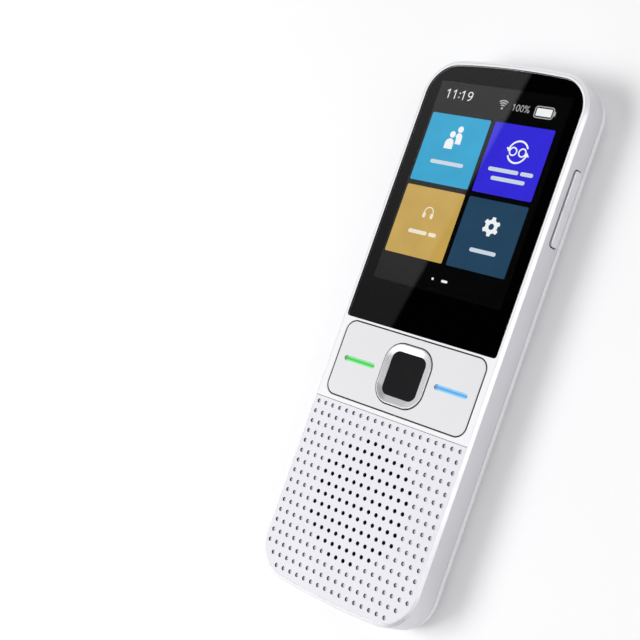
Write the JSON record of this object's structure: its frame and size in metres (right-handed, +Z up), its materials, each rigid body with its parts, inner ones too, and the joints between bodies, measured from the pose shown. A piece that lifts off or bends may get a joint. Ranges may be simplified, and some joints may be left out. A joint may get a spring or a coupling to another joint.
{
  "type": "handheld translator",
  "caption": "Slim handheld electronic translator with a glass-covered screen, a rocking key plate with a ringed centre key, side keys and a dotted speaker grille.",
  "frame": {"origin": "middle of the flat back, the face it lies on", "axes": "+X to the right across the front, +Y from the speaker end to the screen end, +Z up out of the screen"},
  "size_m": [0.047, 0.128, 0.0118],
  "materials": {
    "frame_silver": "satin silver-white anodised look",
    "cover_white": "fine satin moulded plastic",
    "front_white": "fine matt moulded plastic",
    "key_white": "satin moulded plastic",
    "clear_glass": "clear, polished, flat",
    "black_print": "black print on the back of the glass",
    "black_foam": "thin black foam tape",
    "lcd_dark": "dark display",
    "inner_plastic": "moulded plastic",
    "thin_steel": "bright thin steel",
    "amber_flex": "amber flexible circuit",
    "green_light": "translucent green, lit",
    "blue_light": "translucent blue, lit",
    "polished_ring": "satin bright metal",
    "black_cap": "smooth black",
    "silicone": "soft silicone",
    "chip_plastic": "small electronic parts",
    "board_green": "circuit board with solder mask",
    "battery_wrap": "silver pouch",
    "socket_steel": "drawn steel shell",
    "speaker_cloth": "black acoustic mesh",
    "cone_paper": "black speaker cone",
    "camera_glass": "clear, polished",
    "camera_black": "black lens barrel",
    "flash_clear": "frosted clear plastic"
  },
  "bodies": {
    "housing": {"mid_frame": "frame_silver", "back_cover": "cover_white", "front_bezel": "front_white", "grille_panel": "front_white", "cover_glass": "clear_glass", "black_print": "black_print", "glass_tape": "black_foam", "lcd_cell": "lcd_dark", "backlight": "inner_plastic", "display_carrier": "thin_steel", "display_flex": "amber_flex", "key_domes": "thin_steel", "key_pad": "silicone", "indicator_leds": "chip_plastic", "volume_switches": "chip_plastic", "volume_switch_board": "board_green", "power_switch": "chip_plastic", "power_switch_board": "board_green", "main_board": "board_green", "board_screws": "thin_steel", "shield_cans": "thin_steel", "battery": "battery_wrap", "battery_tape": "black_foam", "battery_connector": "chip_plastic", "battery_lead": "amber_flex", "charging_board": "board_green", "charging_board_screws": "thin_steel", "charging_socket": "socket_steel", "link_flex": "amber_flex", "speaker_mesh": "speaker_cloth", "speaker_gasket": "black_foam", "speaker_basket": "inner_plastic", "speaker_magnet": "thin_steel", "speaker_cone": "cone_paper", "bottom_microphone": "chip_plastic", "top_microphone": "chip_plastic", "microphone_boots": "silicone", "camera_window": "camera_glass", "camera_trim": "polished_ring", "camera_module": "camera_black", "flash_light_pipe": "flash_clear", "flash_led": "chip_plastic", "wifi_antenna": "amber_flex"},
    "rocking_plate": {"key_plate": "key_white", "green_light_bar": "green_light", "blue_light_bar": "blue_light"},
    "centre_key": {"centre_key_ring": "polished_ring", "centre_key_cap": "black_cap", "centre_key_carrier": "inner_plastic"},
    "volume_key": {"volume_rocker": "frame_silver"},
    "power_button": {"power_key": "frame_silver"}
  },
  "joints": [
    {"name": "key_plate_rock", "type": "hinge", "parent": "housing", "child": "rocking_plate", "pos_m": [0, -0.0108, 0.0094], "axis": [0, 1, 0], "range_deg": [-1, 1], "stiffness_Nm_per_rad": 1.3},
    {"name": "centre_key_press", "type": "slide", "parent": "housing", "child": "centre_key", "axis": [0, 0, -1], "range_m": [0, 0.0003], "stiffness_N_per_m": 3000},
    {"name": "volume_rock", "type": "hinge", "parent": "housing", "child": "volume_key", "pos_m": [0.0207, 0.0344, 0.0071], "axis": [0, 0, 1], "range_deg": [-1.5, 1.5], "stiffness_Nm_per_rad": 0.4},
    {"name": "power_press", "type": "slide", "parent": "housing", "child": "power_button", "axis": [1, 0, 0], "range_m": [0, 0.0003], "stiffness_N_per_m": 4000}
  ]
}
